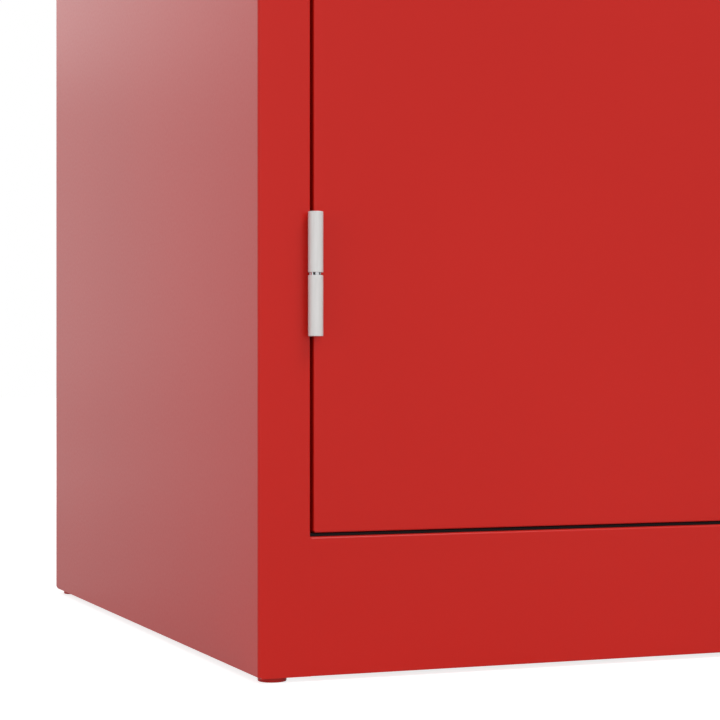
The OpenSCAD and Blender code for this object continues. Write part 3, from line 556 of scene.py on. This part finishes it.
# screws with a domed head and a cross recess
screwShape = {
    "panHead": {"headWidth": 0.009, "headHeight": 0.0024, "crown": 0.0011, "crossWidth": 0.0013,
                "crossSpan": 0.0052, "crossDepth": 0.0015, "shankWidth": 0.005, "seed": 4},
    "flushHead": {"headWidth": 0.01, "headHeight": 0.002, "crown": 0.0, "crossWidth": 0.0014,
                  "crossSpan": 0.0058, "crossDepth": 0.0013, "shankWidth": 0.005, "seed": 9},
    "guideScrew": {"headWidth": 0.0052, "headHeight": 0.0014, "crown": 0.0006, "crossWidth": 0.0008,
                   "crossSpan": 0.003, "crossDepth": 0.0009, "shankWidth": 0.003, "shankLength": 0.004,
                   "inset": 0.0042, "seed": 6},
}
screwFacets = {"head": 32, "headRings": 6, "shank": 16, "shankRings": 1}


def screwTree(facets):
    sizes = ["headWidth", "headHeight", "crown", "crossWidth", "crossSpan", "crossDepth", "shankWidth",
             "shankLength"]
    kinds = {size: "Float" for size in sizes}
    kinds.update({"facing": "Vector", "seed": "Int", "finish": "Material"})
    tree, given = newTree("crossHeadScrew", kinds)
    head = discOf(tree, given["headWidth"], given["headHeight"], facets["head"], facets["headRings"])

    def domed(share):
        curve = mathOf(tree, "POWER", share, 2.0)
        return mathOf(tree, "MULTIPLY", curve, mathOf(tree, "MULTIPLY", given["crown"], -1.0))

    head = topShaped(tree, head, given["headWidth"], given["headHeight"], domed)
    recess = tree.nodes.new("GeometryNodeMeshBoolean")
    recess.operation = "DIFFERENCE"
    recess.solver = "EXACT"
    tree.links.new(head, recess.inputs[0])
    depth = mathOf(tree, "MULTIPLY", given["crossDepth"], 2.0)
    for across, along in (("crossSpan", "crossWidth"), ("crossWidth", "crossSpan")):
        size = vectorOf(tree, given[across], given[along], depth)
        arm = addNode(tree, "GeometryNodeMeshCube", {"Size": size})[0]
        tree.links.new(liftedBy(tree, arm, given["headHeight"]), recess.inputs[1])
    shank = discOf(tree, given["shankWidth"], given["shankLength"], facets["shank"], facets["shankRings"])
    shank = liftedBy(tree, shank, mathOf(tree, "MULTIPLY", given["shankLength"], -1.0))
    both = tree.nodes.new("GeometryNodeJoinGeometry")
    for part in (recess.outputs[0], shank):
        tree.links.new(part, both.inputs[0])
    setOnPoints(tree, given, both.outputs[0])
    return tree


def screwsAt(points, settings, slot):
    inputs = {**settings, "facing": towardsBack, "finish": finishes[slot]}
    return grownOn(points, crossHead, inputs)


def screwsInPlaceOf(node, settings):
    boxes = solidBoxes(node)
    head = settings["headHeight"]
    length = boxes[0][1].y - boxes[0][0].y - head
    points = [((low.x + high.x) / 2, high.y - head, (low.z + high.z) / 2) for low, high in boxes]
    inPlaceOf(node, screwsAt(points, {**settings, "shankLength": length}, slotOfNode[node]))


def guideScrews(node, settings):
    points = []
    for low, high in solidBoxes(node):
        for x in (low.x + settings["inset"], high.x - settings["inset"]):
            points.append((x, high.y, (low.z + high.z) / 2))
    mesh = screwsAt(points, settings, "zinc_plate")
    finishedPiece(camelName(node) + "Screws", mesh, bodyOfNode[node], "zinc_plate")


crossHead = screwTree(screwFacets)
screwsInPlaceOf("back_screws", screwShape["panHead"])
screwsInPlaceOf("handle_screws", screwShape["panHead"])
screwsInPlaceOf("crank_screw", screwShape["flushHead"])
for guides in ("rod_guides", "bolt_guides"):
    guideScrews(guides, screwShape["guideScrew"])
print("screws set")


# rows of spot welds down the flanges of the door stiffeners
weldMark = {"markWidth": 0.007, "height": 0.0002, "ring": 0.00025, "fromEdge": 0.0075, "pitch": 0.08,
            "fromEnd": 0.03, "sheet": 0.0015, "around": 20, "rings": 6, "seed": 2}


def weldTree(settings):
    kinds = {"markWidth": "Float", "height": "Float", "ring": "Float"}
    tree, given = newTree("spotWeld", {**kinds, "facing": "Vector", "seed": "Int", "finish": "Material"})
    disc = discOf(tree, given["markWidth"], given["height"], settings["around"], settings["rings"])

    def ringed(share):
        arch = mathOf(tree, "SINE", mathOf(tree, "MULTIPLY", share, math.pi), 0.0)
        return mathOf(tree, "MULTIPLY", arch, given["ring"])

    setOnPoints(tree, given, topShaped(tree, disc, given["markWidth"], given["height"], ringed))
    return tree


def weldRows(node, settings):
    low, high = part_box(node)
    count = int((high.z - low.z - 2 * settings["fromEnd"]) / settings["pitch"]) + 1
    first = (low.z + high.z - (count - 1) * settings["pitch"]) / 2
    points = []
    for x in (low.x + settings["fromEdge"], high.x - settings["fromEdge"]):
        points += [(x, low.y + settings["sheet"], first + i * settings["pitch"]) for i in range(count)]
    inputs = {**settings, "facing": towardsBack, "finish": finishes["red_paint"]}
    mesh = grownOn(points, spotWeld, inputs)
    finishedPiece(camelName(node) + "Welds", mesh, bodyOfNode[node], "red_paint")


spotWeld = weldTree(weldMark)
for stiffener in ("left_door_stiffener", "right_door_stiffener"):
    weldRows(stiffener, weldMark)
print("spot welds set")


# turned and moulded small pieces
def ringFaces(bm, lower, upper):
    count = len(lower)
    for i in range(count):
        j = (i + 1) % count
        bm.faces.new((lower[i], lower[j], upper[j], upper[i]))


washerShape = {
    "bore": 0.0061,
    "slots": 6,
    "firstSlot": 56.0,                             # degrees from the x axis
    "slotWidth": 0.00155,
    "slotFloor": 0.0032,                           # radius
    "padTop": 0.00332,                             # radius of the nylon pad in each slot
    "padInset": 0.0001,
    "around": 180,
    "padSteps": 4,
}


def onCircle(middle, radius, degrees):
    angle = math.radians(degrees)
    return middle + radius * Vector((math.cos(angle), math.sin(angle), 0))


def slottedWasher(bm, low, high, settings):
    middle, rim = (low + high) / 2, (high.x - low.x) / 2
    half = math.degrees(settings["slotWidth"] / 2 / rim)
    step = 360 / settings["slots"]
    rings = []
    for z in (low.z, high.z):
        level = Vector((middle.x, middle.y, z))
        inner, outer = [], []
        for i in range(settings["around"]):
            angle = 360 * i / settings["around"]
            away = abs((angle - settings["firstSlot"] + step / 2) % step - step / 2)
            radius = settings["slotFloor"] if away < half else rim
            inner.append(bm.verts.new(onCircle(level, settings["bore"] / 2, angle)))
            outer.append(bm.verts.new(onCircle(level, radius, angle)))
        rings.append((inner, outer))
    (innerLow, outerLow), (innerHigh, outerHigh) = rings
    ringFaces(bm, outerLow, outerHigh)
    ringFaces(bm, outerHigh, innerHigh)
    ringFaces(bm, innerHigh, innerLow)
    ringFaces(bm, innerLow, outerLow)


def slotPadsWithPaintedShade(bm, low, high, settings):
    # a curved nylon pad lies on the floor of each slot and holds grease; it is partly painted shade, as its
    # dark colour deepens the dark in the slots
    middle, rim = (low + high) / 2, (high.x - low.x) / 2
    half = math.degrees((settings["slotWidth"] / 2 - settings["padInset"]) / rim)
    for slot in range(settings["slots"]):
        first = settings["firstSlot"] + 360 * slot / settings["slots"] - half
        angles = [first + 2 * half * i / settings["padSteps"] for i in range(settings["padSteps"] + 1)]
        rings = []
        for z in (low.z + settings["padInset"], high.z - settings["padInset"]):
            level = Vector((middle.x, middle.y, z))
            inner = [bm.verts.new(onCircle(level, settings["slotFloor"], angle)) for angle in angles]
            outer = [bm.verts.new(onCircle(level, settings["padTop"], angle)) for angle in reversed(angles)]
            rings.append(inner + outer)
        ringFaces(bm, *rings)
        bm.faces.new(rings[0])
        bm.faces.new(list(reversed(rings[1])))
    bmesh.ops.recalc_face_normals(bm, faces=bm.faces)


def hingeWashers(settings):
    steel, nylon = bmesh.new(), bmesh.new()
    for low, high in solidBoxes("hinge_washers"):
        slottedWasher(steel, low, high, settings)
        slotPadsWithPaintedShade(nylon, low, high, settings)
    inPlaceOf("hinge_washers", meshOf("washers", steel))
    finishedPiece("hingeWasherPads", meshOf("pads", nylon), bodyOfNode["hinge_washers"], "nylon")


# dust seal on the plinth's ledge, just behind the front face
sealShape = {"back": 0.0024, "baseWidth": 0.003, "baseHeight": 0.0004, "beadWidth": 0.002,
             "beadHeight": 0.0017, "steps": 8}


def plinthSeal(settings):
    wide, base = settings["baseWidth"], settings["baseHeight"]
    outline = [(0, 0), (wide, 0), (wide, base)]
    for i in range(settings["steps"] + 1):
        angle = math.pi * i / settings["steps"]
        across = wide / 2 + settings["beadWidth"] / 2 * math.cos(angle)
        outline.append((across, base + settings["beadHeight"] * math.sin(angle)))
    outline.append((0, base))
    front, ledge = frontLines["face"] + settings["back"], frontLines["plinthTop"]
    bm = bmesh.new()
    rings = []
    for x in (frontLines["doorEdge"], -frontLines["doorEdge"]):
        spots = [(x, front + y, ledge + z) for y, z in outline]
        rings.append([bm.verts.new(spot) for spot in spots])
    ringFaces(bm, *rings)
    bm.faces.new(rings[0])
    bm.faces.new(list(reversed(rings[1])))
    bmesh.ops.recalc_face_normals(bm, faces=bm.faces)
    finishedPiece("plinthSeal", meshOf("seal", bm), "cabinet", "rubber")


# feet with a disc and a threaded stem
footShape = {"rim": 0.0006, "neck": 0.0003, "discTop": 0.0062, "stem": 0.004, "pitch": 0.00125,
             "thread": 0.0006, "around": 40, "rowsPerTurn": 8, "rimSteps": 5, "tip": 0.001}


def footRings(settings, width, height):
    # radius, height and depth of thread of each ring, from the ground up
    rim, rings = settings["rim"], []
    for i in range(settings["rimSteps"] + 1):
        angle = math.pi / 2 * i / settings["rimSteps"]
        rings.append((width / 2 - rim * (1 - math.sin(angle)), rim * (1 - math.cos(angle)), 0))
    top, neck, stem, tip = (settings[key] for key in ("discTop", "neck", "stem", "tip"))
    rings += [(width / 2, top - neck, 0), (width / 2 - neck, top, 0), (stem, top, 0)]
    rows = int((height - tip - top) / settings["pitch"] * settings["rowsPerTurn"])
    for i in range(1, rows + 1):
        rings.append((stem, top + (height - tip - top) * i / rows, settings["thread"]))
    rings.append((stem - tip, height, 0))
    return rings


def screwFoot(node, settings):
    low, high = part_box(node)
    centre = (low + high) / 2
    bm = bmesh.new()
    rows = []
    for radius, height, thread in footRings(settings, high.x - low.x, high.z - low.z):
        row = []
        for i in range(settings["around"]):
            share = i / settings["around"]
            wave = abs((height / settings["pitch"] - share) % 1.0 - 0.5) * 2
            angle, reach = 2 * math.pi * share, radius - thread * wave
            spot = (centre.x + reach * math.cos(angle), centre.y + reach * math.sin(angle), low.z + height)
            row.append(bm.verts.new(spot))
        rows.append(row)
    for lower, upper in zip(rows, rows[1:]):
        ringFaces(bm, lower, upper)
    bm.faces.new(list(reversed(rows[0])))
    bm.faces.new(rows[-1])
    inPlaceOf(node, meshOf(node, bm))


cupShape = {"sheet": 0.0015, "clear": 0.0013, "wall": 0.0012, "flange": 0.002, "flangeHeight": 0.001,
            "depth": 0.024, "corner": 0.001, "steps": 8}


def roundedRing(bm, centre, half, corner, z, steps):
    ring = []
    for quarter, (sideX, sideY) in enumerate(((1, 1), (-1, 1), (-1, -1), (1, -1))):
        for i in range(steps + 1):
            angle = math.pi / 2 * (quarter + i / steps)
            x = sideX * (half[0] - corner) + corner * math.cos(angle)
            y = sideY * (half[1] - corner) + corner * math.sin(angle)
            ring.append(bm.verts.new((centre.x + x, centre.y + y, z)))
    return ring


def keeperCupWithPaintedShade(node, isRound, settings):
    # dust cup under the plinth's ledge, round for the bolt and oblong for the rod; its dark nylon is also
    # painted shade, standing in for the shade under the cabinet that would show through the holes
    low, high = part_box(node)
    rear = low.y + high.x - low.x if isRound else high.y
    centre = Vector(((low.x + high.x) / 2, (low.y + rear) / 2, 0))
    inner = Vector(((high.x - low.x) / 2, (rear - low.y) / 2)) + Vector((1, 1)) * settings["clear"]
    top = frontLines["plinthTop"] - settings["sheet"]
    under, foot = top - settings["flangeHeight"], top - settings["depth"]
    wall, rim = settings["wall"], settings["wall"] + settings["flange"]
    levels = [(0, foot + wall), (0, top), (rim, top), (rim, under), (wall, under), (wall, foot)]
    bm = bmesh.new()
    rings = []
    for grow, z in levels:
        half = inner + Vector((1, 1)) * grow
        corner = half.x if isRound else settings["corner"] + grow
        rings.append(roundedRing(bm, centre, half, corner, z, settings["steps"]))
    for lower, upper in zip(rings, rings[1:]):
        ringFaces(bm, lower, upper)
    bm.faces.new(rings[0])
    bm.faces.new(list(reversed(rings[-1])))
    bmesh.ops.remove_doubles(bm, verts=bm.verts, dist=shading["weld"])
    bmesh.ops.recalc_face_normals(bm, faces=bm.faces)
    finishedPiece(camelName(node) + "Cup", meshOf(node, bm), "cabinet", "nylon")


hingeWashers(washerShape)
plinthSeal(sealShape)
for foot in feet:
    screwFoot(foot, footShape)
# dark cups in the ledge's holes, partly painted shade
keeperCupWithPaintedShade("bottom_bolt", True, cupShape)
keeperCupWithPaintedShade("lower_rod", False, cupShape)
print("washers, seal, feet and keeper cups made")
